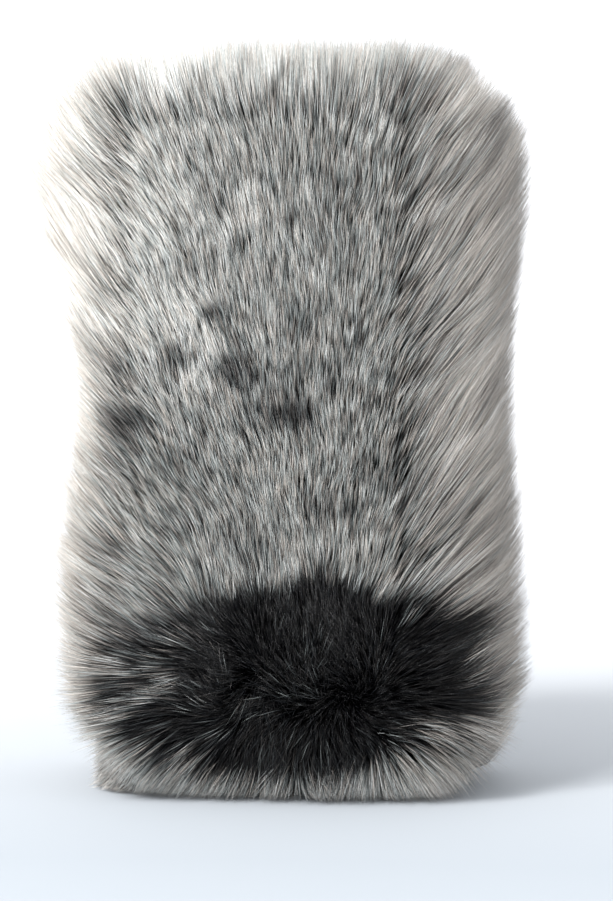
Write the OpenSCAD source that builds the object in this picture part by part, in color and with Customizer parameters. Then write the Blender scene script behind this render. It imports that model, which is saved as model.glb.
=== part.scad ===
// Slip-on furry windscreen: a foam insert that stays on the recorder, and a lined fur cover
// that pulls up off it. Front faces -Y. The origin is the middle of the mouth, which it stands on.

/* [Recorder] */
// Width of the recorder that the screen slips over
recorder_w = 58; // [50:1:90]
// Depth of that recorder, front to back
recorder_d = 26; // [24:1:50]
// Length of the recorder that goes into the screen
recorder_h = 148; // [110:1:200]
// Space between the recorder and the foam, on each side
recorder_gap = 0.7; // [0.3:0.1:1.5]

/* [Foam insert] */
// Thickness of the foam walls
foam_t = 4.5; // [3:0.1:8]
// Radius of the insert's upright edges, at most its wall
foam_edge_r = 4; // [2:0.5:4]
// Radius of the insert's two top corners, seen from the front
foam_top_r = 8; // [4:0.5:10]
// Height of the seal ring under the foam
seal_h = 5; // [3:0.5:10]

/* [Lined cover] */
// Running space between the foam and the lining
cover_gap = 0.3; // [0.2:0.05:1]
// Thickness of the mesh lining
lining_t = 0.6; // [0.3:0.1:1]
// Thickness of the seam tape and of the thread through it
tape_t = 0.4; // [0.2:0.05:0.5]
// Width of the seam tape on each side of its seam
tape_w = 6; // [5.5:0.5:9]

/* [Fur] */
// Thickness of the knitted backing that holds the pile
backing_t = 1.4; // [1.2:0.1:2.5]
// Depth of the pile above the backing
pile_d = 17; // [10:0.5:24]
// Radius of the fur's two top corners, seen from the front
fur_top_r = 24; // [16:1:28]
// Radius of the fur's two bottom corners, seen from the front
fur_low_r = 26; // [16:1:28]
// Radius of the fur's top and bottom edges, seen from the side
fur_side_r = 17; // [12:1:20]
// Radius of the fur's upright edges, seen from above
fur_edge_r = 20; // [14:1:24]
// Height of the lowest pile above the mouth
pile_lift = 1.5; // [1:0.5:3]

/* [Waist] */
// Height of the narrowest part of the waist
waist_z = 92; // [70:1:110]
// Height of the stretch that the waist draws in
waist_h = 118; // [80:2:124]
// How far the waist draws each side in
waist_in_x = 5; // [2:0.5:6]
// How far the waist draws the front and the back in
waist_in_y = 2.5; // [1:0.5:5]
// Width of the elastic that draws it in
elastic_w = 8; // [4:0.5:12]
// Thickness of the elastic
elastic_t = 0.6; // [0.4:0.05:0.7]

/* [Hem] */
// Height of the binding round the mouth
hem_h = 8; // [7:0.5:14]
// Thickness of the binding's cloth
hem_t = 0.6; // [0.5:0.1:1.2]
// Thickness of the elastic in the hem
hem_elastic_t = 0.8; // [0.6:0.1:2]
// Space between that elastic and the binding
hem_play = 0.15; // [0.1:0.05:0.3]

/* [Thread] */
// Length of one stitch
stitch_l = 3; // [2:0.25:3.5]
// Distance from one stitch to the next
stitch_pitch = 5; // [4.5:0.25:7]
// Width of the thread
thread_w = 0.5; // [0.4:0.05:0.8]

/* [Hidden] */
$fn = 96;

// The pocket's half width, half depth and height. Every layer is this pocket grown by a distance.
pocket_x = recorder_w / 2 + recorder_gap;
pocket_y = recorder_d / 2 + recorder_gap;
pocket_z = recorder_h + recorder_gap;

// Those distances, from the pocket's wall outwards
foam_out = foam_t;
lining_in = foam_out + cover_gap;
lining_out = lining_in + lining_t;
tape_out = lining_out + tape_t;
elastic_out = tape_out + elastic_t;
fur_out = lining_out + backing_t + pile_d;
thread_in = foam_out + cover_gap;
hem_in = thread_in + tape_t;
hem_out = hem_in + 2 * hem_t + 2 * hem_play + hem_elastic_t;

edge_r = min(foam_edge_r, foam_t);  // the insert's edge radius, within its wall
reach = 400;                        // longer than any part of the screen
cut = 1;                            // how far a cutter runs past what it cuts
waist_steps = 8;                    // flats that the waist's curve is made of

// ---- Layers ----

// A rounded rectangle from [-x, low] to [x, high], with its own radius for each pair of corners
module outline(x, low, high, r_low, r_high) {
    translate([-x, low + r_low]) square([2 * x, high - low - r_low - r_high]);
    translate([r_low - x, low]) square([2 * (x - r_low), r_low + cut]);
    translate([r_high - x, high - r_high - cut]) square([2 * (x - r_high), r_high + cut]);
    for (side = [-1, 1]) {
        translate([side * (x - r_low), low + r_low]) circle(r_low);
        translate([side * (x - r_high), high - r_high]) circle(r_high);
    }
}

// Stands a front view up, so that its thickness runs along Y
module upright() {
    rotate([90, 0, 0]) linear_extrude(reach, center = true) children();
}

// The pocket grown outwards by d, seen from above, from one height to another
module layer_plan(d, low, high) {
    y = pocket_y + d;
    r = edge_r + d - foam_out;
    translate([0, 0, low]) linear_extrude(high - low) outline(pocket_x + d, -y, y, r, r);
}

// The pocket grown outwards by d, with its top and its two top corners rounded
module layer(d, low) {
    top_r = foam_top_r + d - foam_out;
    intersection() {
        layer_plan(d, low, pocket_z + d);
        upright() outline(pocket_x + d, low - 2 * cut, pocket_z + d, cut, top_r);
    }
}

// Everything between two layers above a height
module shell(inner, outer, low) {
    difference() {
        layer(outer, low);
        layer(inner, low - 3 * cut);
    }
}

// The wedge in front of the pocket, cut off by mitres at its left, right and top
module front_wedge() {
    intersection() {
        translate([0, 0, -cut]) linear_extrude(reach) polygon([
            [-pocket_x, -pocket_y],
            [pocket_x, -pocket_y],
            [pocket_x + reach, -pocket_y - reach],
            [-pocket_x - reach, -pocket_y - reach],
        ]);
        rotate([90, 0, 90]) linear_extrude(2 * reach, center = true) polygon([
            [-pocket_y, -cut],
            [-pocket_y, pocket_z],
            [-pocket_y - reach, pocket_z + reach],
            [-pocket_y - reach, -cut],
        ]);
    }
}

// The wedge to the right of the pocket, cut off by mitres at its front, back and top
module right_wedge() {
    intersection() {
        translate([0, 0, -cut]) linear_extrude(reach) polygon([
            [pocket_x, -pocket_y],
            [pocket_x + reach, -pocket_y - reach],
            [pocket_x + reach, pocket_y + reach],
            [pocket_x, pocket_y],
        ]);
        upright() polygon([
            [pocket_x, -cut],
            [pocket_x + reach, -cut],
            [pocket_x + reach, pocket_z + reach],
            [pocket_x, pocket_z],
        ]);
    }
}

// The wedge above the pocket, cut off by mitres all round
module top_wedge() {
    intersection() {
        upright() polygon([
            [-pocket_x, pocket_z],
            [pocket_x, pocket_z],
            [pocket_x + reach, pocket_z + reach],
            [-pocket_x - reach, pocket_z + reach],
        ]);
        rotate([90, 0, 90]) linear_extrude(2 * reach, center = true) polygon([
            [-pocket_y, pocket_z],
            [pocket_y, pocket_z],
            [pocket_y + reach, pocket_z + reach],
            [-pocket_y - reach, pocket_z + reach],
        ]);
    }
}

// ---- Foam insert ----

// The part of the foam that lies in a box between two corners
module foam_slab(low, high) {
    color("#5d5f63") intersection() {
        layer(foam_out, seal_h);
        translate(low) cube(high - low);
    }
}

module foam_front_slab() {
    foam_slab([-reach, -reach, seal_h], [reach, -pocket_y, reach]);
}

module foam_back_slab() {
    foam_slab([-reach, pocket_y, seal_h], [reach, reach, reach]);
}

module foam_left_slab() {
    foam_slab([-reach, -pocket_y, seal_h], [-pocket_x, pocket_y, reach]);
}

module foam_right_slab() {
    foam_slab([pocket_x, -pocket_y, seal_h], [reach, pocket_y, reach]);
}

module foam_crown_slab() {
    foam_slab([-pocket_x, -pocket_y, pocket_z], [pocket_x, pocket_y, reach]);
}

module mouth_seal_ring() {
    color("#1d1e20") difference() {
        layer_plan(foam_out, 0, seal_h);
        translate([-pocket_x, -pocket_y, -cut])
            cube([2 * pocket_x, 2 * pocket_y, seal_h + 2 * cut]);
    }
}

// ---- Fur ----

// What the waist takes off both sides of an outline whose half width is wall
module waist_cuts(wall, depth) {
    drawn = [
        for (i = [0 : waist_steps])
            [
                wall - depth * (1 - cos(360 * i / waist_steps)) / 2,
                waist_z + waist_h * (i / waist_steps - 0.5),
            ]
    ];
    past = [[wall + cut, waist_z + waist_h / 2], [wall + cut, waist_z - waist_h / 2]];
    for (side = [0, 1]) mirror([side, 0, 0]) polygon(concat(drawn, past));
}

// The outside of the pile: a slab rounded in all three views and drawn in at the waist
module pile_body() {
    x = pocket_x + fur_out;
    y = pocket_y + fur_out;
    top = pocket_z + fur_out;
    intersection() {
        linear_extrude(reach) outline(x, -y, y, fur_edge_r, fur_edge_r);
        upright() difference() {
            outline(x, pile_lift, top, fur_low_r, fur_top_r);
            waist_cuts(x, waist_in_x);
        }
        rotate([90, 0, 90]) linear_extrude(reach, center = true) difference() {
            outline(y, pile_lift, top, fur_side_r, fur_side_r);
            waist_cuts(y, waist_in_y);
        }
    }
}

// Backing and pile in one wedge, with room for the lining, tapes, elastic and hem
module fur() {
    color("#8b8b8c") difference() {
        intersection() {
            pile_body();
            children();
        }
        layer(lining_out, -cut);
        layer_plan(hem_out, -cut, hem_h);
        elastic_band();
        for (back = [0, 1]) mirror([0, back, 0]) tape_run();
    }
}

module fur_front_panel() { fur() front_wedge(); }

module fur_back_panel() { mirror([0, 1, 0]) fur_front_panel(); }

module fur_right_gusset() { fur() right_wedge(); }

module fur_left_gusset() { mirror([1, 0, 0]) fur_right_gusset(); }

module fur_crown_gusset() { fur() top_wedge(); }

// ---- Lining ----

module lining() {
    color("#2a2b2e") intersection() {
        shell(lining_in, lining_out, hem_h);
        children();
    }
}

module lining_front() { lining() front_wedge(); }

module lining_back() { mirror([0, 1, 0]) lining_front(); }

module lining_right() { lining() right_wedge(); }

module lining_left() { mirror([1, 0, 0]) lining_right(); }

module lining_crown() { lining() top_wedge(); }

// ---- Seam tape and thread ----

// How far along a rounded rectangle's edge one half of it runs
function half_way(x, y, r) = 2 * (x - r) + 2 * (y - r) + PI * r;

// The point at a distance along that edge, with the heading there: [x, y, heading]
function along(s, x, y, r) =
    let (
        straight_x = 2 * (x - r),
        bend = PI * r / 2,
        straight_y = 2 * (y - r),
        half = half_way(x, y, r)
    )
    s >= half ? let (p = along(s - half, x, y, r)) [-p[0], -p[1], p[2] + 180]
    : s < straight_x ? [r - x + s, -y, 0]
    : s < straight_x + bend ?
        let (turn = (s - straight_x) / r * 180 / PI)
        [x - r + r * sin(turn), r - y - r * cos(turn), turn]
    : s < straight_x + bend + straight_y ? [x, r - y + s - straight_x - bend, 90]
    : let (turn = (s - straight_x - bend - straight_y) / r * 180 / PI)
        [x - r + r * cos(turn), y - r + r * sin(turn), 90 + turn];

// Blocks at even steps along that edge, one for each stitch, between two heights of y
module stitch_blocks(x, y, r, low) {
    count = floor(2 * half_way(x, y, r) / stitch_pitch);
    for (i = [0 : count - 1]) {
        p = along((i + 0.5) * 2 * half_way(x, y, r) / count, x, y, r);
        if (p[1] > low)
            translate([p[0], p[1], 0]) rotate(p[2])
                cube([stitch_l, 2 * cut, thread_w], center = true);
    }
}

// The tape along the seam between the front panel and the two gussets and the crown
module tape_run() {
    difference() {
        intersection() {
            shell(lining_out, tape_out, hem_h);
            translate([-reach, -reach, 0]) cube([2 * reach, reach - seam_edge_y(), reach]);
        }
        upright() outline(
            pocket_x + lining_out - tape_w, -cut, pocket_z + lining_out - tape_w, cut / 2, cut / 2
        );
    }
}

// How far behind the front seam the tape ends
function seam_edge_y() = pocket_y + lining_out - tape_w;

// Where the needle goes through the tape, up one side, over the top and down the other
module tape_needle() {
    x = pocket_x + lining_out + tape_t / 2;
    half_z = (pocket_z + lining_out + tape_t / 2) / 2;
    r = foam_top_r + lining_out - foam_out + tape_t / 2;
    translate([0, -(seam_edge_y() + tape_w / 4), half_z]) rotate([90, 0, 0])
        stitch_blocks(x, half_z, r, hem_h + stitch_l - half_z);
}

module front_seam_tape() {
    color("#17181a") difference() {
        tape_run();
        tape_needle();
    }
}

module back_seam_tape() { mirror([0, 1, 0]) front_seam_tape(); }

module front_seam_stitches() {
    color("#0d0d0e") intersection() {
        tape_run();
        tape_needle();
    }
}

module back_seam_stitches() { mirror([0, 1, 0]) front_seam_stitches(); }

// ---- Waist ----

module elastic_band() {
    low = waist_z - elastic_w / 2;
    difference() {
        layer_plan(elastic_out, low, low + elastic_w);
        layer_plan(tape_out, low - cut, low + elastic_w + cut);
    }
}

module waist_elastic() { color("#26272a") elastic_band(); }

// ---- Hem ----

module hem_ring(inner, outer, low, high) {
    difference() {
        layer_plan(outer, low, high);
        layer_plan(inner, low - cut, high + cut);
    }
}

module hem_binding() {
    color("#101113") difference() {
        hem_ring(hem_in, hem_out, 0, hem_h);
        hem_ring(hem_in + hem_t, hem_out - hem_t, hem_t, hem_h - hem_t);
    }
}

module hem_elastic() {
    wall = hem_t + hem_play;
    color("#2c2d30") hem_ring(hem_in + wall, hem_out - wall, wall, hem_h - wall);
}

module hem_stitches() {
    x = pocket_x + hem_in;
    y = pocket_y + hem_in;
    color("#0d0d0e") intersection() {
        hem_ring(thread_in + tape_t / 4, hem_in, 0, hem_h);
        translate([0, 0, hem_h * 0.75])
            stitch_blocks(x, y, edge_r + hem_in - foam_out, -reach);
    }
}

foam_front_slab();
foam_back_slab();
foam_left_slab();
foam_right_slab();
foam_crown_slab();
mouth_seal_ring();
fur_front_panel();
fur_back_panel();
fur_left_gusset();
fur_right_gusset();
fur_crown_gusset();
lining_front();
lining_back();
lining_left();
lining_right();
lining_crown();
front_seam_tape();
back_seam_tape();
front_seam_stitches();
back_seam_stitches();
waist_elastic();
hem_binding();
hem_elastic();
hem_stitches();
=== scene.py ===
"""A slip-on furry windscreen for a handheld recorder, standing on its mouth in a plain studio."""

import math

import bmesh
import bpy
import numpy as np
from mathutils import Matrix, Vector, noise


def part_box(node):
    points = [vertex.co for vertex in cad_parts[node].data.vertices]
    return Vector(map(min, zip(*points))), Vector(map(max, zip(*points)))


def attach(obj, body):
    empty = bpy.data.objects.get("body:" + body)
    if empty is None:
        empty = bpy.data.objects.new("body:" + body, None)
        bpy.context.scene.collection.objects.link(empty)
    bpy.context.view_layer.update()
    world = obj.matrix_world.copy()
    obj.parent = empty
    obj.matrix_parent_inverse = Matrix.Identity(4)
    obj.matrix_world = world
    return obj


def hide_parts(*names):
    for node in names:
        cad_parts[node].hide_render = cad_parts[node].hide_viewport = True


MM = 0.001
MATH, VECTOR = "ShaderNodeMath", "ShaderNodeVectorMath"

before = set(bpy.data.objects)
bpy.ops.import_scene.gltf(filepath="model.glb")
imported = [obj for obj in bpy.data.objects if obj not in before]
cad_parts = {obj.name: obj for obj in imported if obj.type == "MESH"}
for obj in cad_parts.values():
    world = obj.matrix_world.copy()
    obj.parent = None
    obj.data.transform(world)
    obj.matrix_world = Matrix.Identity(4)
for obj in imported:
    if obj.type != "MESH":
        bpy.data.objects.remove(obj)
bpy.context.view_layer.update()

# ---- Places that the frame gives ----

LINING_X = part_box("lining_right")[1].x
LINING_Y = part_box("lining_back")[1].y
LINING_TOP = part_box("lining_crown")[1].z
HEM_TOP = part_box("hem_binding")[1].z
SEAL_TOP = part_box("mouth_seal_ring")[1].z
FOAM_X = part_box("foam_right_slab")[1].x
POCKET_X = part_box("foam_right_slab")[0].x
POCKET_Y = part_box("foam_back_slab")[0].y
POCKET_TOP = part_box("foam_crown_slab")[0].z
HEM_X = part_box("hem_binding")[1].x
WAIST_Z = (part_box("waist_elastic")[0].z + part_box("waist_elastic")[1].z) / 2
PILE_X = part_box("fur_right_gusset")[1].x
PILE_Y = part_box("fur_back_panel")[1].y
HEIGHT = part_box("fur_crown_gusset")[1].z

# ---- Small helpers ----


def linear(hex_colour):
    """An sRGB hex colour as linear RGBA."""
    values = [int(hex_colour[i : i + 2], 16) / 255 for i in (1, 3, 5)]
    return [v / 12.92 if v <= 0.04045 else ((v + 0.055) / 1.055) ** 2.4 for v in values] + [1.0]


def add(tree, kind, inputs=(), output=0, **settings):
    """Adds a node with its settings, links or sets its inputs, and gives back one output."""
    node = tree.nodes.new(kind)
    for name, value in settings.items():
        setattr(node, name, value)
    pairs = inputs.items() if isinstance(inputs, dict) else enumerate(inputs)
    for key, value in pairs:
        if isinstance(value, bpy.types.NodeSocket):
            tree.links.new(value, node.inputs[key])
        else:
            node.inputs[key].default_value = value
    return node.outputs[output] if node.outputs else None


def set_ramp(ramp, stops):
    """Sets a colour ramp to (place, hex colour) stops."""
    while len(ramp.elements) < len(stops):
        ramp.elements.new(0.5)
    for element, (place, colour) in zip(ramp.elements, stops):
        element.position = place
        element.color = linear(colour)


def smooth(low, high, x):
    """0 below low, 1 above high, and a smooth rise between them."""
    t = np.clip((np.asarray(x, float) - low) / (high - low), 0, 1)
    return t * t * (3 - 2 * t)


def unit(v):
    """Rows of v at length one."""
    return v / np.maximum(np.linalg.norm(v, axis=1), 1e-9)[:, None]


def mesh_object(name, vertices, faces, material=None):
    """A new object in the scene, from plain lists of points and faces."""
    mesh = bpy.data.meshes.new(name)
    mesh.from_pydata([tuple(v) for v in vertices], [], [tuple(f) for f in faces])
    mesh.update()
    piece = bpy.data.objects.new(name, mesh)
    bpy.context.scene.collection.objects.link(piece)
    if material:
        mesh.materials.append(material)
    return piece


def new_material(name):
    """A new material, its node tree and its shader."""
    material = bpy.data.materials.new(name)
    material.use_nodes = True
    tree = material.node_tree
    return material, tree, tree.nodes["Principled BSDF"]


# ---- Materials ----


def acrylic_pile():
    """Long acrylic pile, dyed black at the root and left pale at the tip: the roots read as black
    gaps between silvery locks, and each smooth fibre catches a thin glint. Some fibres have a
    cool grey tip, and the others a warm one."""
    material, tree, shader = new_material("acrylic pile")
    # U picks the tip's colour, cool below a half and warm above; V is the place along the fibre
    uv = add(tree, "ShaderNodeUVMap", uv_map="OFBake")
    tone = add(tree, "ShaderNodeSeparateXYZ", [uv])
    along = tone.node.outputs[1]
    tip = add(tree, "ShaderNodeValToRGB", [tone])
    cool = ("#09080b", "#2b2e31", "#6a6f6f", "#989e9c", "#bec3c1", "#eef0ee")
    warm = ("#0b090a", "#34312f", "#797471", "#aaa39c", "#cec6bd", "#f6f0e9")
    places = (0.02, 0.14, 0.23, 0.30, 0.38, 0.48)
    stops = [(place, colour) for place, colour in zip(places, cool)]
    stops += [(place + 0.5, colour) for place, colour in zip(places, warm)]
    set_ramp(tip.node.color_ramp, stops)
    # Black for the first quarter of the fibre, and fully pale over the last
    rise = add(
        tree, "ShaderNodeMapRange", [along, 0.25, 0.78, 0.0, 1.0], interpolation_type="SMOOTHSTEP"
    )
    shade = add(
        tree, "ShaderNodeMix", {0: rise, 6: linear("#08070a"), 7: tip}, output=2, data_type="RGBA"
    )
    tree.links.new(shade, shader.inputs["Base Color"])
    shader.inputs["Roughness"].default_value = 0.28
    shader.inputs["IOR"].default_value = 1.5
    shader.inputs["Specular IOR Level"].default_value = 0.28
    return material


PILE = acrylic_pile()


def thread_lattice(tree, across, up):
    """A height that rises and falls like crossing threads, across (along X or Y) by up (along Z)."""
    place = add(tree, "ShaderNodeTexCoord", output="Object")
    x = add(tree, "ShaderNodeSeparateXYZ", [place])
    along = add(tree, MATH, [x, x.node.outputs[1]], operation="ADD")
    along = add(tree, MATH, [along, 2 * math.pi / across], operation="MULTIPLY")
    rows = add(tree, MATH, [x.node.outputs[2], 2 * math.pi / up], operation="MULTIPLY")
    a = add(tree, MATH, [along], operation="SINE")
    b = add(tree, MATH, [rows], operation="SINE")
    crossed = add(tree, MATH, [a, b], operation="MULTIPLY")
    return add(tree, MATH, [crossed, 0.5, 0.5], operation="MULTIPLY_ADD")


def cloth(name, low, high, across, up, depth, roughness, sheen, holes=0.0):
    """A cloth of crossing threads, painted dark between them as their shade and lighter on their tops,
    with a soft bloom of sheen.
    across and up are its repeats, depth is its relief, and holes widens the dark places."""
    material, tree, shader = new_material(name)
    height = thread_lattice(tree, across, up)
    # Painted shade: the colour is darkest where the lattice is low, between the threads
    top = add(tree, "ShaderNodeMapRange", [height, 0.15 + holes, 0.6 + holes / 2, 0.0, 1.0])
    place = add(tree, "ShaderNodeTexCoord", output="Object")
    fuzz = add(tree, "ShaderNodeTexNoise", {"Vector": place, "Scale": 900.0, "Detail": 3.0})
    mixed = add(tree, MATH, [fuzz, 0.3, top], operation="MULTIPLY_ADD")
    mixed = add(tree, MATH, [mixed, 0.1], operation="SUBTRACT", use_clamp=True)
    colour = add(
        tree, "ShaderNodeMix", {0: mixed, 6: linear(low), 7: linear(high)}, output=2, data_type="RGBA"
    )
    bump = add(tree, "ShaderNodeBump", {"Strength": 0.8, "Distance": depth, "Height": mixed})
    tree.links.new(colour, shader.inputs["Base Color"])
    tree.links.new(bump, shader.inputs["Normal"])
    shader.inputs["Roughness"].default_value = roughness
    shader.inputs["Sheen Weight"].default_value = sheen
    shader.inputs["Sheen Roughness"].default_value = 0.5
    return material


# Loops of yarn about 1.2 mm apart, black and matt, seen only as the dark floor of the pile
BACKING = cloth(
    "knitted polyester backing", "#060607", "#17171a", 1.2 * MM, 0.9 * MM, 0.2 * MM, 0.9, 0.1
)
# A net with 2 mm holes, smooth filament yarn with a slight sheen
LINING = cloth(
    "warp-knit polyester net", "#0c0c0e", "#3f4045", 2.4 * MM, 2.0 * MM, 0.3 * MM, 0.6, 0.25, 0.2
)
# Plain-woven black tape folded over the edge: a dry, even grain
HEM_CLOTH = cloth(
    "woven polyester binding", "#050506", "#1d1e21", 0.8 * MM, 0.8 * MM, 0.12 * MM, 0.75, 0.3
)
# Narrow woven tape along the seams, smoother and tighter
TAPE = cloth("woven twill tape", "#08080a", "#242529", 0.6 * MM, 0.9 * MM, 0.1 * MM, 0.7, 0.25)
# Rubber cores covered in braided yarn: raised ribs running up the band
ELASTIC = cloth("braided elastic", "#121315", "#3b3d41", 1.4 * MM, 0.5 * MM, 0.25 * MM, 0.7, 0.2)
# Bonded thread, drawn with its twist coarser than real so that it shows
THREAD = cloth("bonded nylon thread", "#060607", "#2a2a2d", 0.5 * MM, 0.4 * MM, 0.08 * MM, 0.4, 0.0)


def open_cell_foam():
    """Polyurethane foam cut from a block: charcoal, dull and dry, with open cells and a few larger
    pits, whose hollows are painted darker as their shade."""
    material, tree, shader = new_material("open-cell polyurethane foam")
    place = add(tree, "ShaderNodeTexCoord", output="Object")
    cells = add(tree, "ShaderNodeTexVoronoi", {"Vector": place, "Scale": 1 / (0.9 * MM)})
    walls = add(tree, "ShaderNodeMapRange", [cells, 0.1, 0.55, 0.0, 1.0])
    pits = add(tree, "ShaderNodeTexVoronoi", {"Vector": place, "Scale": 1 / (3.5 * MM)})
    pits = add(tree, "ShaderNodeMapRange", [pits, 0.05, 0.2, 0.0, 1.0])
    height = add(tree, MATH, [walls, pits], operation="MULTIPLY")
    tint = add(tree, "ShaderNodeTexNoise", {"Vector": place, "Scale": 60.0, "Detail": 4.0})
    shade = add(tree, MATH, [tint, 0.5, -0.25], operation="MULTIPLY_ADD")
    # Painted shade: the colour is darker down in the cells and the pits, over a random tint
    shade = add(tree, MATH, [height, 0.8, shade], operation="MULTIPLY_ADD", use_clamp=True)
    colour = add(
        tree, "ShaderNodeMix", {0: shade, 6: linear("#17181a"), 7: linear("#6a6c70")},
        output=2, data_type="RGBA",
    )
    bump = add(tree, "ShaderNodeBump", {"Strength": 1.0, "Distance": 0.5 * MM, "Height": height})
    tree.links.new(colour, shader.inputs["Base Color"])
    tree.links.new(bump, shader.inputs["Normal"])
    shader.inputs["Roughness"].default_value = 0.95
    shader.inputs["Specular IOR Level"].default_value = 0.15
    return material


def moulded_rubber():
    """Moulded EPDM rubber: near black, satin, with the faint grain of its mould and paler dust in
    patches."""
    material, tree, shader = new_material("moulded EPDM rubber")
    place = add(tree, "ShaderNodeTexCoord", output="Object")
    grain = add(tree, "ShaderNodeTexNoise", {"Vector": place, "Scale": 1500.0, "Detail": 2.0})
    dust = add(tree, "ShaderNodeTexNoise", {"Vector": place, "Scale": 120.0, "Detail": 5.0})
    dust = add(tree, "ShaderNodeMapRange", [dust, 0.5, 0.75, 0.0, 1.0])
    colour = add(
        tree, "ShaderNodeMix", {0: dust, 6: linear("#141416"), 7: linear("#2b2b2d")},
        output=2, data_type="RGBA",
    )
    gloss = add(tree, "ShaderNodeMapRange", [dust, 0.0, 1.0, 0.45, 0.7])
    bump = add(tree, "ShaderNodeBump", {"Strength": 0.4, "Distance": 0.05 * MM, "Height": grain})
    tree.links.new(colour, shader.inputs["Base Color"])
    tree.links.new(gloss, shader.inputs["Roughness"])
    tree.links.new(bump, shader.inputs["Normal"])
    return material


FOAM = open_cell_foam()
RUBBER = moulded_rubber()

# ---- The layers: every one is the backing's outer face moved inwards by an inset ----

BACKING_R = 9 * MM  # radius of that face's edges
CORNER_R = 9 * MM  # radius of its two top corners, seen from the front
LINING_INSET = 1.4 * MM
BACKING_T = 0.35 * MM
LINING_T = 0.45 * MM
GROUND_X = LINING_X + LINING_INSET
GROUND_Y = LINING_Y + LINING_INSET
GROUND_TOP = LINING_TOP + LINING_INSET
GROUND_LOW = 1.8 * MM  # where the backing's lower edge is
FOAM_INSET = GROUND_X - FOAM_X
FLARE = 1.6 * MM  # how far the fur's edge is pushed out where it covers the hem
FLARE_RISE = 4 * MM  # height above the hem over which that fades


def rounded_corners(p, n):
    """Turns the square top corners of the front view into quarter circles, normals too."""
    start = np.array([GROUND_X, GROUND_TOP]) - CORNER_R
    side = np.sign(p[:, 0])
    a, b = np.abs(p[:, 0]) - start[0], p[:, 2] - start[1]
    inside = (a > 0) & (b > 0)
    size = np.maximum(np.hypot(a, b), 1e-9)
    scale = np.maximum(a, b) / size
    p, n = p.copy(), n.copy()
    p[:, 0] = np.where(inside, side * (start[0] + a * scale), p[:, 0])
    p[:, 2] = np.where(inside, start[1] + b * scale, p[:, 2])
    flat = np.hypot(n[:, 0], n[:, 2])
    n[:, 0] = np.where(inside, side * flat * a / size, n[:, 0])
    n[:, 2] = np.where(inside, flat * b / size, n[:, 2])
    return p, n


def layer_grid(side, inset, low, high, flare=0.0, pitch=2.2 * MM):
    """A grid on one side of a layer: its points, normals and faces. side is the axis that it faces
    along and which way, and low to high is its extent upwards, or from front to back on top."""
    axis, way = side
    size = np.array([GROUND_X, GROUND_Y, GROUND_TOP]) - inset
    radius = BACKING_R - inset
    across = size[1] if axis == 0 else size[0]
    nu = max(2, round(2 * across / pitch))
    nv = max(2, round((high - low) / pitch))
    u, v = np.meshgrid(
        np.linspace(-across, across, nu + 1), np.linspace(low, high, nv + 1), indexing="ij"
    )
    flat = np.full_like(u, way * size[axis])
    order = {0: (flat, u, v), 1: (u, flat, v), 2: (u, v, flat)}[axis]
    q = np.stack([a.ravel() for a in order], -1)
    core = q.copy()
    core[:, :2] = np.clip(core[:, :2], radius - size[:2], size[:2] - radius)
    core[:, 2] = np.minimum(core[:, 2], size[2] - radius)
    n = unit(q - core)
    p, n = rounded_corners(core + radius * n, n)
    p[:, :2] += (flare * (1 - smooth(HEM_TOP, HEM_TOP + FLARE_RISE, p[:, 2])))[:, None] * n[:, :2]
    faces = []
    for i in range(nu):
        for j in range(nv):
            a, b = i * (nv + 1) + j, (i + 1) * (nv + 1) + j
            faces.append((a, b, b + 1, a + 1))
    first = np.array(faces[0])
    turn = np.cross(p[first[1]] - p[first[0]], p[first[2]] - p[first[0]])
    if np.dot(turn, n[first].mean(0)) < 0:
        faces = [face[::-1] for face in faces]
    return p, n, faces


SIDES = {"front": (1, -1), "back": (1, 1), "left": (0, -1), "right": (0, 1), "crown": (2, 1)}


def extent(side, inset, low):
    """From where to where a side of a layer runs."""
    depth = GROUND_Y - inset
    return (-depth, depth) if side[0] == 2 else (low, GROUND_TOP - inset)


# ---- How the pile is combed, cut and coloured ----

PILE_LENGTH = 21 * MM
PARTING = np.array([8 * MM, -GROUND_Y, 22 * MM])  # where the front pile parts and turns all ways
PARTING_HALF = 7 * MM  # how far the parting runs to either side
UP = np.array([0.0, 0.0, 1.0])
# The outline that the pile is cut to: its corner radii, how far it is inside the cover's size (less
# than nothing where it stands past it), how far the waist draws it in, and the shortest cut
CUT_R = {
    "top": 29 * MM, "left": 36 * MM, "right": 25 * MM,
    "brow": 18 * MM, "heel": 10 * MM, "plan": 18 * MM,
}
CUT_IN = {"side": -4.5 * MM, "face": 0.5 * MM, "top": 1.8 * MM}
WAIST_IN_Y, WAIST_HALF = 2.5 * MM, 36 * MM
SPLAY = 1.5 * MM  # how far below what it stands on the outline's rounded foot would end
SHORTEST = 0.22
# The dark patch low on the front: its middle, its half width and its lower and upper edges
PATCH_X, PATCH_HALF, PATCH_LOW, PATCH_TOP = 1.5 * MM, 32 * MM, 9.5 * MM, 43 * MM
# Spots of painted shade over the waist, for partings in the pile and the crease under the waist fold:
# x, z, half width and half height in mm
PARTING_SHADE = (
    (-20, 95, 2.2, 4), (-27, 81, 4, 4), (-6, 92, 4.5, 4),
    (7, 82, 4.5, 3.5), (-10, 104, 4, 2.5), (36, 138, 3, 4),
)


def past_outline(across, z, half, r_top, r_low):
    """How far a point lies outside an upright rounded outline. Below, the pile may splay out on
    what it stands on."""
    upper = z > HEIGHT / 2
    r = np.where(upper, r_top, r_low)
    a = np.abs(across) - (half - r)
    b = np.where(upper, z - (HEIGHT - CUT_IN["top"] - r), r - z - SPLAY)
    return np.hypot(np.maximum(a, 0), np.maximum(b, 0)) + np.minimum(np.maximum(a, b), 0) - r


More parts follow.
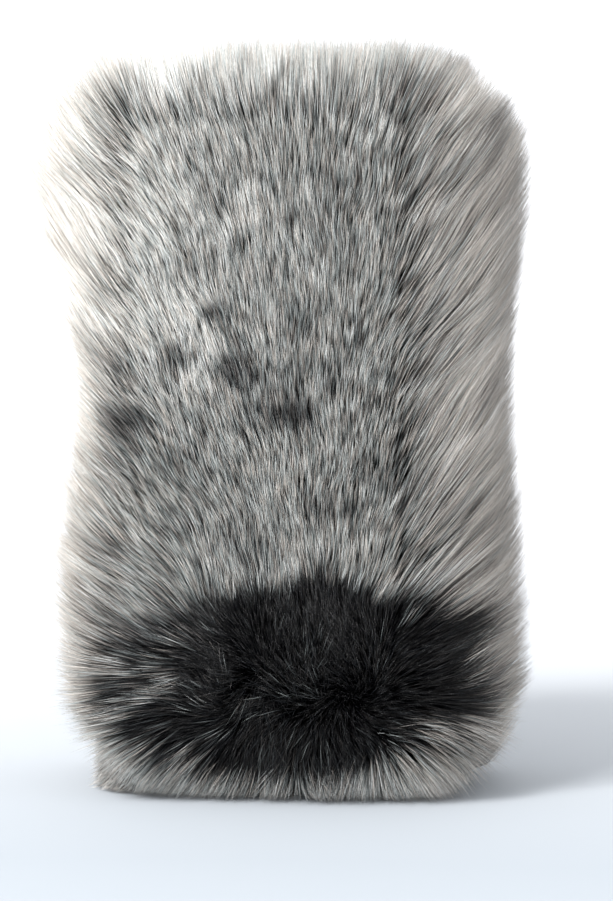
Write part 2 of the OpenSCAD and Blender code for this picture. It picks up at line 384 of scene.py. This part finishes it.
def cut_share(p, rise, bend):
    """The share of the full pile at which each fibre's tip meets the outline."""
    best = np.full(len(p), SHORTEST)
    left = p[:, 0] < 0  # its left side is drawn in further, and its lower corner is rounder
    for share in np.linspace(SHORTEST, 1.0, 23):
        x, y, z = (p + share * (rise + bend)).T
        waist = np.exp(-(((z - WAIST_Z) / WAIST_HALF) ** 2))
        below = 1 - smooth(30 * MM, 85 * MM, z)
        # In mm, on the left and on the right
        drawn_in = np.where(left, 13.0 * waist + 7.0 * below, 0.5 + 4.2 * waist) * MM
        half_x = PILE_X - CUT_IN["side"] - drawn_in
        half_y = PILE_Y - CUT_IN["face"] - WAIST_IN_Y * waist
        r_low = np.where(left, CUT_R["left"], CUT_R["right"])
        past = np.maximum(
            past_outline(x, z, half_x, CUT_R["top"], r_low),
            past_outline(y, z, half_y, CUT_R["brow"], CUT_R["heel"]),
        )
        a, b = np.abs(x) - (half_x - CUT_R["plan"]), np.abs(y) - (half_y - CUT_R["plan"])
        corner = np.hypot(np.maximum(a, 0), np.maximum(b, 0)) + np.minimum(np.maximum(a, b), 0)
        past = np.maximum(past, corner - CUT_R["plan"])
        best = np.where(past < 0, share, best)
    return best[:, None]


def clouds(p, size, seed):
    """Soft noise from about -1 to 1, with patches of a given size."""
    offset = Vector((seed, 2 * seed, 3 * seed))
    return np.array([1.6 * noise.noise(Vector(q) / size + offset) for q in p])


def combed(p, n):
    """How the pile grows at each point: how far a fibre's tip stands out and lies over, how wild
    it is, how pale and warm its tip is, and how far it belongs to the dark patch."""
    x, y, z = p.T
    front = smooth(-0.2, 0.6, -n[:, 1])
    crown = smooth(0.3, 0.9, n[:, 2])
    away = p - PARTING
    away[:, 0] -= np.clip(away[:, 0], -PARTING_HALF, PARTING_HALF)
    distance = np.linalg.norm(away, axis=1)
    near = front * (1 - smooth(2 * MM, 28 * MM, distance))
    # Fibres run away from the parting, fan out to both sides above it, and droop at the foot
    lean = np.radians(32) * np.sign(x) * np.abs(x / (34 * MM)) ** 1.3
    fan = np.stack([np.sin(lean), 0.25 * (1 - front) + 0.3 * crown, np.cos(lean)], -1)
    turn = 1 - (front * (1 - smooth(-5 * MM, 45 * MM, away[:, 2])))[:, None]
    droop = 1 - smooth(7 * MM, 18 * MM, z)
    flow = unit(away) * (1 - turn) + fan * turn
    flow -= UP * (1.3 * droop * (0.3 + 0.7 * front))[:, None]
    swirl = np.stack([clouds(p, 8 * MM, seed) for seed in (1, 2, 3)], -1)
    flow += swirl * (0.24 + 1.2 * near)[:, None]
    # A small gap at the bottom of the front, where the hem shows
    notch = front * (1 - smooth(0, 7 * MM, np.abs(x - PARTING[0] + 1 * MM))) * (z < 14 * MM)
    flow[:, 0] += 1.6 * notch * np.sign(x - PARTING[0] + 1 * MM)
    comb = unit(flow - n * np.sum(flow * n, axis=1)[:, None])
    # They stand less at the waist, where the elastic draws the backing in, and at the foot
    waist = np.exp(-(((z - WAIST_Z) / WAIST_HALF) ** 2))
    low = 1 - smooth(35 * MM, 70 * MM, z)
    stand = 0.86 - 0.1 * waist - 0.34 * droop + 0.05 * crown + 0.26 * np.abs(n[:, 0]) ** 3
    lay = (0.36 + 0.14 * low) * (1 - 0.4 * near) * (1 - 0.3 * crown) + 0.1 * droop
    # Over the sides it lies flatter, and its tips run up along the outline
    lay += 0.8 * np.abs(n[:, 0]) * smooth(15 * MM, 55 * MM, z) * (1 - crown)
    rise = PILE_LENGTH * stand[:, None] * n
    bend = PILE_LENGTH * lay[:, None] * comb
    share = cut_share(p, rise, bend)
    # The dark patch is ragged, streaked on its left and a little higher on its right
    bottom, top = PATCH_LOW, PATCH_TOP + 0.14 * x
    q = (np.abs(x - PATCH_X) / PATCH_HALF) ** 2.6
    q += (np.abs(z - (top + bottom) / 2) / ((top - bottom) / 2)) ** 2.6
    q += 0.22 * clouds(p, 7 * MM, 7)
    dark = front * (1 - smooth(0.7, 1.4, q)) * (0.66 + 0.34 * smooth(-18 * MM, 2 * MM, x))
    edge = np.maximum(smooth(24 * MM, 36 * MM, np.abs(x)), 1 - front)
    left = smooth(20 * MM, -30 * MM, x)
    upper = smooth(60 * MM, 150 * MM, z)
    # Tips are paler towards the top, most at the upper left as painted light from the key, and round
    # the edges as a painted rim light, most on the left; they are also paler in a band over the waist
    # and at the foot
    tone = (
        0.54 + 0.07 * upper + 0.18 * upper * left * (1 - 0.7 * edge)
        + 0.03 * edge + 0.06 * edge * left
    )
    tone += 0.05 * np.exp(-(((z - 88 * MM) / (26 * MM)) ** 2))
    # Painted highlight: a paler band on the left, where the upper side of the waist fold catches the
    # key light
    tone += 0.13 * left * np.exp(-(((z - 104 * MM) / (13 * MM)) ** 2))
    tone += 0.08 * clouds(p, 14 * MM, 4) + 0.2 * (1 - smooth(10 * MM, 16 * MM, z))
    tone -= 0.2 * smooth(0.25, 0.7, clouds(p, 6 * MM, 5)) * (0.4 + 0.6 * waist)
    # Painted shade: tips are darkened in these spots, for partings in the pile and the crease under the
    # waist fold
    for shade_x, shade_z, half_x, half_z in PARTING_SHADE:
        spot = ((x / MM - shade_x) / half_x) ** 2 + ((z / MM - shade_z) / half_z) ** 2
        tone -= 0.4 * front * (1 - smooth(0.3, 1.6, spot))
    warm = 0.42 + 0.42 * edge
    # The pile is sown closer round the edges, where it fans out
    crowd = 1 + 6.5 * (1 - np.max(np.abs(n), axis=1))
    return {
        "rise": rise * share, "bend": bend * share, "wild": 1 + 2.5 * near, "tone": tone,
        "warm": warm, "dark": dark, "crowd": crowd,
    }


def ground(name, p, n, faces):
    """The surface that fibres grow on, with its combing as attributes."""
    piece = mesh_object(name, p, faces)
    for key, values in combed(p, n).items():
        vector = values.ndim == 2
        kind = "FLOAT_VECTOR" if vector else "FLOAT"
        attribute = piece.data.attributes.new(key, kind, "POINT")
        attribute.data.foreach_set("vector" if vector else "value", values.ravel().astype(np.float32))
    return piece


SPIKE_R = 0.01  # radius that a spike is modelled with, before it's given its fibre's


def fibre_shape(levels):
    """A three-sided spike one metre tall: its height is the place along a fibre, and its width is
    relative to the fibre's radius."""
    vertices, faces = [], [(2, 1, 0)]
    for t, width in levels:
        for k in range(3):
            turn = 2 * math.pi * k / 3
            x, y = width * math.cos(turn) * SPIKE_R, width * math.sin(turn) * SPIKE_R
            vertices.append((x, y, t))
    rings = len(levels)
    for i in range(rings - 1):
        for k in range(3):
            a, b = 3 * i + k, 3 * i + (k + 1) % 3
            faces.append((a, b, b + 3, a + 3))
    tip = len(vertices)
    vertices.append((0, 0, 1))
    for k in range(3):
        faces.append((3 * (rings - 1) + k, 3 * (rings - 1) + (k + 1) % 3, tip))
    return mesh_object("fibre shape", vertices, faces)


# (place along it, width) pairs, for the long guard hairs and for the undercoat
GUARD = fibre_shape([(0.0, 0.8), (0.55, 1.0)])
UNDER = fibre_shape([(0.0, 1.0)])


def pile_tree():
    """Fibres scattered over a ground and gathered into locks. Each is a spike whose points are
    moved onto the fibre's bent path, and it keeps its tone and the place along it as its UV."""
    tree = bpy.data.node_groups.new("pile", "GeometryNodeTree")
    sockets = {
        "Ground": "Geometry", "Fibre": "Object", "Density": "Float", "Length Share": "Float",
        "Tone Shift": "Float", "Tone Spread": "Float", "Fibre Radius": "Float", "Lock Spacing": "Float",
        "Lock Pull": "Float", "Wildness": "Float", "Seed": "Int", "Material": "Material",
    }
    for name, kind in sockets.items():
        tree.interface.new_socket(name, in_out="INPUT", socket_type="NodeSocket" + kind)
    tree.interface.new_socket("Pile", in_out="OUTPUT", socket_type="NodeSocketGeometry")
    given = tree.nodes.new("NodeGroupInput").outputs
    ground_mesh, seed = given["Ground"], given["Seed"]

    position = add(tree, "GeometryNodeInputPosition")
    crowd = add(tree, "GeometryNodeInputNamedAttribute", ["crowd"], data_type="FLOAT")
    density = add(tree, MATH, [crowd, given["Density"]], operation="MULTIPLY")
    points = add(
        tree, "GeometryNodeDistributePointsOnFaces",
        {"Mesh": ground_mesh, "Density": density, "Seed": seed},
    )
    # One guide for each lock, which the fibres round it lean towards
    guide_density = add(tree, MATH, [given["Lock Spacing"], -2.0], operation="POWER")
    guide_seed = add(tree, MATH, [seed, 17.0], operation="ADD")
    guides = add(
        tree, "GeometryNodeDistributePointsOnFaces",
        {"Mesh": ground_mesh, "Density": guide_density, "Seed": guide_seed},
    )
    nearest = add(tree, "GeometryNodeSampleNearest", [guides])
    guide_place = add(
        tree, "GeometryNodeSampleIndex", [guides, position, nearest], data_type="FLOAT_VECTOR"
    )
    guide_chance = add(tree, "FunctionNodeRandomValue", {2: 0.0, 3: 1.0, 8: 5}, output=1)
    lock_chance = add(tree, "GeometryNodeSampleIndex", [guides, guide_chance, nearest])
    pull = add(tree, VECTOR, [guide_place, position], operation="SUBTRACT")
    stray = add(
        tree, "FunctionNodeRandomValue", {0: (-1, -1, -1), 1: (1, 1, 1), 8: 3}, data_type="FLOAT_VECTOR"
    )
    chance = add(tree, "FunctionNodeRandomValue", {2: 0.0, 3: 1.0, 8: 11}, output=1)
    hue = add(tree, "FunctionNodeRandomValue", {2: 0.0, 3: 1.0, 8: 23}, output=1)
    kept = points
    for name, kind, value in (
        ("root", "FLOAT_VECTOR", position),
        ("pull", "FLOAT_VECTOR", pull),
        ("stray", "FLOAT_VECTOR", stray),
        ("lock", "FLOAT", lock_chance),
        ("chance", "FLOAT", chance),
        ("hue", "FLOAT", hue),
    ):
        inputs = {"Geometry": kept, "Name": name, "Value": value}
        kept = add(tree, "GeometryNodeStoreNamedAttribute", inputs, data_type=kind)
    shape = add(tree, "GeometryNodeObjectInfo", [given["Fibre"]], output="Geometry")
    spin = add(tree, "FunctionNodeRandomValue", {2: 0.0, 3: 2 * math.pi, 8: 7}, output=1)
    turned = add(tree, "ShaderNodeCombineXYZ", {2: spin})
    placed = add(
        tree, "GeometryNodeInstanceOnPoints", {"Points": kept, "Instance": shape, "Rotation": turned}
    )
    real = add(tree, "GeometryNodeRealizeInstances", [placed])

    # What each corner of a spike knows: its fibre's root, growth and chances
    own = {}
    for name in ("root", "rise", "bend", "pull", "stray"):
        own[name] = add(tree, "GeometryNodeInputNamedAttribute", [name], data_type="FLOAT_VECTOR")
    for name in ("wild", "tone", "warm", "dark", "lock", "chance", "hue"):
        own[name] = add(tree, "GeometryNodeInputNamedAttribute", [name], data_type="FLOAT")
    local = add(tree, VECTOR, [position, own["root"]], operation="SUBTRACT")
    across = add(tree, "ShaderNodeSeparateXYZ", [local])
    depth, t = across.node.outputs[1], across.node.outputs[2]

    # Its own length, from the lock's chance and its own
    lock_length = add(tree, MATH, [own["lock"], 0.2, 0.86], operation="MULTIPLY_ADD")
    own_length = add(tree, MATH, [own["chance"], 0.3, 0.8], operation="MULTIPLY_ADD")
    length = add(tree, MATH, [lock_length, own_length], operation="MULTIPLY")
    length = add(tree, MATH, [length, given["Length Share"]], operation="MULTIPLY")
    length = add(tree, MATH, [length, 1.08], operation="MINIMUM")
    # It rises by t (1.4 - 0.4 t) and bends over by t (0.3 + 0.7 t)
    rising = add(tree, MATH, [t, -0.4, 1.4], operation="MULTIPLY_ADD")
    bending = add(tree, MATH, [t, 0.7, 0.3], operation="MULTIPLY_ADD")
    reached = add(tree, MATH, [length, t], operation="MULTIPLY")
    risen = add(tree, MATH, [rising, reached], operation="MULTIPLY")
    bent = add(tree, MATH, [bending, reached], operation="MULTIPLY")
    wandered = add(tree, MATH, [reached, given["Wildness"]], operation="MULTIPLY")
    wandered = add(tree, MATH, [wandered, own["wild"]], operation="MULTIPLY")
    gathered = add(tree, MATH, [t, 1.3], operation="POWER")
    gathered = add(tree, MATH, [gathered, given["Lock Pull"]], operation="MULTIPLY")
    side = add(tree, VECTOR, [own["rise"], own["bend"]], operation="CROSS_PRODUCT")
    side = add(tree, VECTOR, [side], operation="NORMALIZE")
    heading = add(tree, VECTOR, [own["rise"], own["bend"]], operation="ADD")
    top = add(tree, VECTOR, [heading, side], operation="CROSS_PRODUCT")
    top = add(tree, VECTOR, [top], operation="NORMALIZE")
    width = add(tree, MATH, [given["Fibre Radius"], 1 / SPIKE_R], operation="MULTIPLY")
    path = own["root"]
    for vector, factor in (
        (own["rise"], risen),
        (own["bend"], bent),
        (own["stray"], wandered),
        (own["pull"], gathered),
        (side, add(tree, MATH, [across, width], operation="MULTIPLY")),
        (top, add(tree, MATH, [depth, width], operation="MULTIPLY")),
    ):
        path = add(tree, VECTOR, [vector, factor, path], operation="MULTIPLY_ADD")
    # Nothing goes below what it stands on
    floor = add(tree, "ShaderNodeCombineXYZ", {0: -1.0, 1: -1.0, 2: 0.4 * MM})
    path = add(tree, VECTOR, [path, floor], operation="MAXIMUM")

    # The dark patch takes whole locks, and at its edge only some of them
    chosen = add(tree, MATH, [own["chance"], own["lock"]], operation="ADD")
    taken = add(tree, MATH, [own["dark"], 1.4], operation="MULTIPLY")
    taken = add(tree, MATH, [chosen, -0.5, taken], operation="MULTIPLY_ADD")
    taken = add(tree, MATH, [taken, 2.6], operation="MULTIPLY", use_clamp=True)
    shade = add(tree, MATH, [own["lock"], 0.16, -0.08], operation="MULTIPLY_ADD")
    spread = add(tree, MATH, [own["chance"], 0.5], operation="SUBTRACT")
    shade = add(tree, MATH, [spread, given["Tone Spread"], shade], operation="MULTIPLY_ADD")
    shade = add(tree, MATH, [shade, own["tone"]], operation="ADD")
    shade = add(tree, MATH, [shade, given["Tone Shift"]], operation="ADD")
    # Painted glints: a few fibres are made paler, standing in for sparkling highlights
    glint = add(tree, MATH, [own["hue"], own["lock"]], operation="ADD")
    glint = add(tree, MATH, [glint, 1.72], operation="GREATER_THAN")
    shade = add(tree, MATH, [glint, 0.3, shade], operation="MULTIPLY_ADD")
    shade = add(tree, MATH, [taken, -0.6, shade], operation="MULTIPLY_ADD", use_clamp=True)
    warm = add(tree, MATH, [own["hue"], own["warm"]], operation="LESS_THAN")
    u = add(tree, MATH, [shade, 0.46, 0.02], operation="MULTIPLY_ADD")
    u = add(tree, MATH, [warm, 0.5, u], operation="MULTIPLY_ADD")
    u = add(tree, MATH, [across, 0.4, u], operation="MULTIPLY_ADD")
    v = add(tree, MATH, [t, 0.96, 0.02], operation="MULTIPLY_ADD")
    v = add(tree, MATH, [depth, 0.8, v], operation="MULTIPLY_ADD")
    uv = add(tree, "ShaderNodeCombineXYZ", [u, v])
    mapped = add(
        tree, "GeometryNodeStoreNamedAttribute", {"Geometry": real, "Name": "OFBake", "Value": uv},
        data_type="FLOAT2", domain="CORNER",
    )
    moved = add(tree, "GeometryNodeSetPosition", {"Geometry": mapped, "Position": path})
    smoothed = add(tree, "GeometryNodeSetShadeSmooth", [moved])
    done = add(tree, "GeometryNodeSetMaterial", {"Geometry": smoothed, "Material": given["Material"]})
    add(tree, "NodeGroupOutput", [done])
    return tree


PILE_TREE = pile_tree()


def made_by(tree, name, surface, values):
    """What a Geometry Nodes tree makes on a surface, as a new object with a plain mesh."""
    modifier = surface.modifiers.new("made", "NODES")
    modifier.node_group = tree
    for socket in tree.interface.items_tree:
        if socket.in_out == "INPUT" and socket.name in values:
            modifier[socket.identifier] = values[socket.name]
    bpy.context.view_layer.update()
    evaluated = surface.evaluated_get(bpy.context.evaluated_depsgraph_get())
    mesh = bpy.data.meshes.new_from_object(evaluated)
    surface.modifiers.remove(modifier)
    keep = {"position", "sharp_face", "material_index", "OFBake"}
    for gone in [a.name for a in mesh.attributes if a.name not in keep and not a.name.startswith(".")]:
        mesh.attributes.remove(mesh.attributes[gone])
    mesh.name = name
    piece = bpy.data.objects.new(name, mesh)
    bpy.context.scene.collection.objects.link(piece)
    mesh.materials.clear()
    mesh.materials.append(values["Material"])
    return piece


# node: (the side it's on, bands that it's grown in, fibre density next to the front's)
PANELS = {
    "fur_front_panel": ("front", 4, 1.0),
    "fur_back_panel": ("back", 3, 0.58),
    "fur_left_gusset": ("left", 2, 0.6),
    "fur_right_gusset": ("right", 2, 0.6),
    "fur_crown_gusset": ("crown", 1, 0.75),
}
# coat: its fibre, how many of them per square millimetre, and the tree's other inputs
COATS = {
    "under": (UNDER, 2.7, {
        "Length Share": 0.76, "Tone Shift": -0.1, "Tone Spread": 0.3, "Fibre Radius": 0.14 * MM,
        "Lock Spacing": 2.0 * MM, "Lock Pull": 0.3, "Wildness": 1.8 * MM,
    }),
    "guard": (GUARD, 5.0, {
        "Length Share": 1.08, "Tone Shift": 0.02, "Tone Spread": 0.48, "Fibre Radius": 0.06 * MM,
        "Lock Spacing": 1.9 * MM, "Lock Pull": 0.45, "Wildness": 1.3 * MM,
    }),
}


def finished(piece, body, slot, *nodes):
    """Puts a piece on its body, in place of its CAD nodes. slot is not used."""
    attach(piece, body)
    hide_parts(*nodes)
    return piece


def applied(piece):
    """The piece with its modifiers made part of its mesh."""
    bpy.context.view_layer.update()
    evaluated = piece.evaluated_get(bpy.context.evaluated_depsgraph_get())
    mesh = bpy.data.meshes.new_from_object(evaluated)
    piece.modifiers.clear()
    piece.data = mesh
    return piece


def sheet_on(side, name, inset, low, thickness, material, flare=0.0):
    """A closed thin sheet of cloth on one side of a layer."""
    limits = extent(side, inset, low)
    p, n, faces = layer_grid(side, inset, *limits, flare=flare, pitch=2.6 * MM)
    piece = mesh_object(name, p, faces, material)
    piece.data.shade_smooth()
    solid = piece.modifiers.new("thickness", "SOLIDIFY")
    solid.thickness = thickness
    solid.offset = -1
    applied(piece)
    return piece


def make_fur():
    """Two coats of pile on each panel, grown in bands so that no piece is too heavy, and the
    backing that they grow from."""
    for number, (panel, (where, bands, share)) in enumerate(PANELS.items()):
        side = SIDES[where]
        low, high = extent(side, 0.0, GROUND_LOW)
        edges = np.linspace(low, high, bands + 1)
        for band in range(bands):
            p, n, faces = layer_grid(side, 0.0, edges[band], edges[band + 1], flare=FLARE)
            surface = ground("pile ground", p, n, faces)
            for coat, (fibre, density, given) in COATS.items():
                values = {
                    "Fibre": fibre, "Density": density * share / MM**2,
                    "Seed": 10 * number + band, "Material": PILE, **given,
                }
                values["Fibre Radius"] *= share**-0.4  # thicker where they're sown sparser
                piece = made_by(PILE_TREE, f"{panel}_{coat}_{band + 1}", surface, values)
                finished(piece, "fur_cover", "fur", panel)
            bpy.data.objects.remove(surface)
        name = f"{panel}_backing"
        backing = sheet_on(side, name, 0.0, GROUND_LOW, BACKING_T, BACKING, FLARE)
        finished(backing, "fur_cover", "fur", panel)


make_fur()
for fibre in (GUARD, UNDER):
    bpy.data.objects.remove(fibre)

# ---- Lining ----


def make_lining():
    """A net inside each side of the backing, down to the hem."""
    for where, side in SIDES.items():
        node = f"lining_{where}"
        net = sheet_on(side, f"{node}_net", LINING_INSET, HEM_TOP, LINING_T, LINING)
        finished(net, "fur_cover", "mesh_lining", node)


make_lining()

# ---- Foam insert ----


def foam_block():
    """The insert's outside as one closed solid, for the five slabs to be cut from."""
    block = bmesh.new()
    for side in SIDES.values():
        p, n, faces = layer_grid(side, FOAM_INSET, *extent(side, FOAM_INSET, SEAL_TOP))
        corners = [block.verts.new(q) for q in p]
        for face in faces:
            block.faces.new([corners[i] for i in face])
    bmesh.ops.remove_doubles(block, verts=block.verts, dist=0.05 * MM)
    bmesh.ops.holes_fill(block, edges=[e for e in block.edges if e.is_boundary], sides=0)
    bmesh.ops.recalc_face_normals(block, faces=block.faces)
    return block


def cut_slab(block, name, planes):
    """What is left of the block behind each plane, given as a point and a normal."""
    slab = block.copy()
    for point, normal in planes:
        geometry = slab.verts[:] + slab.edges[:] + slab.faces[:]
        bmesh.ops.bisect_plane(
            slab, geom=geometry, dist=1e-6, plane_co=point, plane_no=normal, clear_outer=True
        )
        bmesh.ops.holes_fill(slab, edges=[e for e in slab.edges if e.is_boundary], sides=0)
    bmesh.ops.recalc_face_normals(slab, faces=slab.faces)
    mesh = bpy.data.meshes.new(name)
    slab.to_mesh(mesh)
    slab.free()
    mesh.materials.append(FOAM)
    piece = bpy.data.objects.new(name, mesh)
    bpy.context.scene.collection.objects.link(piece)
    mesh.shade_smooth()
    soft = piece.modifiers.new("soft edges", "BEVEL")
    soft.width = 0.5 * MM
    soft.segments = 2
    soft.limit_method = "ANGLE"
    soft.angle_limit = math.radians(50)
    even = piece.modifiers.new("even shading", "WEIGHTED_NORMAL")
    even.keep_sharp = True
    return applied(piece)


def make_foam():
    """The five slabs of the insert, with the pocket between them."""
    block = foam_block()
    x, y, z = POCKET_X, POCKET_Y, POCKET_TOP
    between = [((0, y, 0), (0, 1, 0)), ((0, -y, 0), (0, -1, 0))]
    slabs = {
        "front": [((0, -y, 0), (0, 1, 0))],
        "back": [((0, y, 0), (0, -1, 0))],
        "left": [((-x, 0, 0), (1, 0, 0))] + between,
        "right": [((x, 0, 0), (-1, 0, 0))] + between,
        "crown": [((0, 0, z), (0, 0, -1)), ((x, 0, 0), (1, 0, 0)), ((-x, 0, 0), (-1, 0, 0))] + between,
    }
    for where, planes in slabs.items():
        node = f"foam_{where}_slab"
        piece = cut_slab(block, f"{node}_foam", planes)
        finished(piece, "foam_insert", "foam", node)
    block.free()


make_foam()

# ---- Rings round the mouth ----

RING_IN = BACKING_R - (GROUND_X - POCKET_X)  # corner radius of the opening
HEM_WALL = 2.3 * MM  # thickness of the folded hem, with the elastic in it
HEM_SKIN = 0.45 * MM  # thickness of its cloth
FOLD_LENGTH = 4.5 * MM  # from one gather of the hem to the next
FOLD_R = 7 * MM  # corner radius of the line that the gathers are counted along
CORNER_STEPS = 12


def ring_path(step=1.2 * MM):
    """Points round the rectangle through the opening's corner centres, and the outward direction at
    each. A point moved outwards by RING_IN is on the opening's edge."""
    x, y = POCKET_X - RING_IN, POCKET_Y - RING_IN
    corners = [(x, -y, -90), (x, y, 0), (-x, y, 90), (-x, -y, 180)]
    centres, headings = [], []
    for i, (cx, cy, start) in enumerate(corners):
        for k in range(CORNER_STEPS + 1):
            centres.append((cx, cy))
            headings.append(math.radians(start + 90 * k / CORNER_STEPS))
        nx, ny, _ = corners[(i + 1) % 4]
        count = max(2, round(math.hypot(nx - cx, ny - cy) / step))
        for k in range(1, count):
            centres.append((cx + (nx - cx) * k / count, cy + (ny - cy) * k / count))
            headings.append(math.radians(start + 90))
    headings = np.array(headings)
    return np.array(centres), np.stack([np.cos(headings), np.sin(headings)], -1)


def rounded_profile(points, radius, steps=3):
    """A closed profile with its corners rounded."""
    out = []
    for i, here in enumerate(points):
        here, before, after = (np.array(points[j % len(points)], float) for j in (i, i - 1, i + 1))
        a, b = before - here, after - here
        la, lb = np.linalg.norm(a), np.linalg.norm(b)
        start = here + a / la * min(radius, la / 2)
        end = here + b / lb * min(radius, lb / 2)
        for k in range(steps + 1):
            t = k / steps
            out.append((1 - t) ** 2 * start + 2 * t * (1 - t) * here + t * t * end)
    return out


def ring_mesh(name, profiles, material, gather=0.0):
    """A ring swept round the mouth. Each profile is a closed list of (distance outside the pocket,
    height); a second one, run the other way, hollows it. gather is how deep its small folds are."""
    centres, out = ring_path()
    middle = centres + out * FOLD_R
    run = np.cumsum(np.linalg.norm(np.diff(middle, axis=0, append=middle[:1]), axis=1))
    folds = round(run[-1] / FOLD_LENGTH)
    wave = np.sin(2 * math.pi * folds * run / run[-1])
    wave += 0.5 * np.sin(2 * math.pi * (folds // 3) * run / run[-1] + 1)
    vertices, faces = [], []
    count = len(centres)
    for profile in profiles:
        base, rows = len(vertices), len(profile)
        for d, z in profile:
            depth = gather * math.sin(math.pi * min(max(z / HEM_TOP, 0), 1))
            place = centres + out * (RING_IN + d + depth * wave)[:, None]
            vertices += [(px, py, z) for px, py in place]
        for i in range(rows):
            for k in range(count):
                a, b = base + i * count, base + (i + 1) % rows * count
                faces.append((a + k, a + (k + 1) % count, b + (k + 1) % count, b + k))
    piece = mesh_object(name, vertices, faces, material)
    piece.data.shade_smooth()
    return piece


def make_rings():
    """The ribbed rubber seal, and the hem's folded cloth, hollow round its elastic."""
    wall = FOAM_X - POCKET_X
    rib, half_rib, low, high = 0.45 * MM, 0.5 * MM, 1.4 * MM, 3.4 * MM
    lip = [(0, 0), (wall, 0), (wall, SEAL_TOP), (0, SEAL_TOP)]
    for z in (high, low):
        lip += [(0, z + half_rib), (-rib, z), (0, z - half_rib)]
    seal = ring_mesh("mouth_seal_ring_rubber", [rounded_profile(lip, radius=0.35 * MM)], RUBBER)
    finished(seal, "foam_insert", "seal_rubber", "mouth_seal_ring")

    outer = HEM_X - POCKET_X
    inner = outer - HEM_WALL
    fold = [(inner, 0), (outer, 0), (outer, HEM_TOP), (inner, HEM_TOP)]
    left, right, top = inner + HEM_SKIN, outer - HEM_SKIN, HEM_TOP - HEM_SKIN
    hollow = [(left, HEM_SKIN), (right, HEM_SKIN), (right, top), (left, top)]
    profiles = [
        rounded_profile(fold, radius=0.9 * MM), rounded_profile(hollow, radius=0.6 * MM)[::-1]
    ]
    binding = ring_mesh("hem_binding_cloth", profiles, HEM_CLOTH, gather=0.28 * MM)
    finished(binding, "fur_cover", "hem_cloth", "hem_binding")


make_rings()


def dress_cad_nodes():
    """Better materials for the CAD nodes that stay."""
    for node, material in {
        "front_seam_tape": TAPE, "back_seam_tape": TAPE,
        "front_seam_stitches": THREAD, "back_seam_stitches": THREAD, "hem_stitches": THREAD,
        "waist_elastic": ELASTIC, "hem_elastic": ELASTIC,
    }.items():
        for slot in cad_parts[node].material_slots:
            slot.material = material


dress_cad_nodes()

# ---- Studio ----


def sweep():
    """A pale paper sweep, flat under the windscreen and curving up far behind it. Its floor round and
    in front of the windscreen is painted faintly grey as shade, and it is white far off and where it
    curves up behind."""
    material, tree, shader = new_material("paper sweep with painted floor shade")
    place = add(tree, "ShaderNodeTexCoord", output="Object")
    depth = add(tree, "ShaderNodeSeparateXYZ", [place], output=1)
    behind = add(tree, "ShaderNodeMapRange", [depth, -0.1, 0.7, 0.0, 1.0])
    distance = add(tree, VECTOR, [place], output=1, operation="LENGTH")
    around = add(tree, "ShaderNodeMapRange", [distance, 0.8, 2.0, 0.0, 1.0])
    far = add(tree, MATH, [behind, around], operation="MAXIMUM")
    # Painted shade: grey on the floor near and in front of the windscreen, white far off and behind
    colour = add(
        tree, "ShaderNodeMix", {0: far, 6: linear("#aeb4ba"), 7: linear("#fdfdfe")},
        output=2, data_type="RGBA",
    )
    tree.links.new(colour, shader.inputs["Base Color"])
    shader.inputs["Roughness"].default_value = 0.85
    half, near, back, bend, top, steps = 3.0, -3.0, 0.9, 0.8, 3.0, 24
    profile = [(near, 0.0), (back, 0.0)]
    for i in range(1, steps + 1):
        turn = math.pi / 2 * i / steps
        profile.append((back + bend * math.sin(turn), bend * (1 - math.cos(turn))))
    profile.append((back + bend, top))
    vertices = [(x, y, z) for y, z in profile for x in (-half, half)]
    faces = [(2 * i, 2 * i + 1, 2 * i + 3, 2 * i + 2) for i in range(len(profile) - 1)]
    floor = mesh_object("sweep", vertices, faces, material)
    floor.data.shade_smooth()


def lights():
    """A pale room, a key light at the upper left and a weak fill from the front."""
    world = bpy.data.worlds.new("pale room")
    world.use_nodes = True
    background = world.node_tree.nodes["Background"]
    background.inputs[0].default_value = (0.95, 0.97, 1.0, 1.0)
    background.inputs[1].default_value = 1.0
    bpy.context.scene.world = world
    for name, place, size, power in (
        ("key", (-0.6, -0.95, 1.15), 0.5, 29.0),
        ("fill", (-0.1, -1.3, 0.5), 1.0, 4.0),
    ):
        light = bpy.data.lights.new(name, "AREA")
        light.size = size
        light.energy = power
        lamp = bpy.data.objects.new(name, light)
        lamp.location = place
        aim = Vector((0, 0, HEIGHT / 2)) - Vector(place)
        lamp.rotation_euler = aim.to_track_quat("-Z", "Y").to_euler()
        bpy.context.scene.collection.objects.link(lamp)


def camera():
    """A long lens a little to the right of the front and a little above the middle."""
    azimuth, elevation, distance = math.radians(6), math.radians(3), 0.7
    target = Vector((6.4 * MM, 0, 77 * MM))
    flat = math.cos(elevation)
    back = Vector((math.sin(azimuth) * flat, -math.cos(azimuth) * flat, math.sin(elevation)))
    data = bpy.data.cameras.new("camera")
    data.sensor_fit = "VERTICAL"
    data.sensor_height = 24
    seen = 0.2085  # height that the frame takes in at the target
    data.lens = data.sensor_height * distance / seen
    data.clip_start = 0.01
    eye = bpy.data.objects.new("camera", data)
    eye.location = target + back * distance
    eye.rotation_euler = (-back).to_track_quat("-Z", "Y").to_euler()
    bpy.context.scene.collection.objects.link(eye)
    bpy.context.scene.camera = eye


sweep()
lights()
camera()
bpy.context.scene.view_settings.view_transform = "Standard"
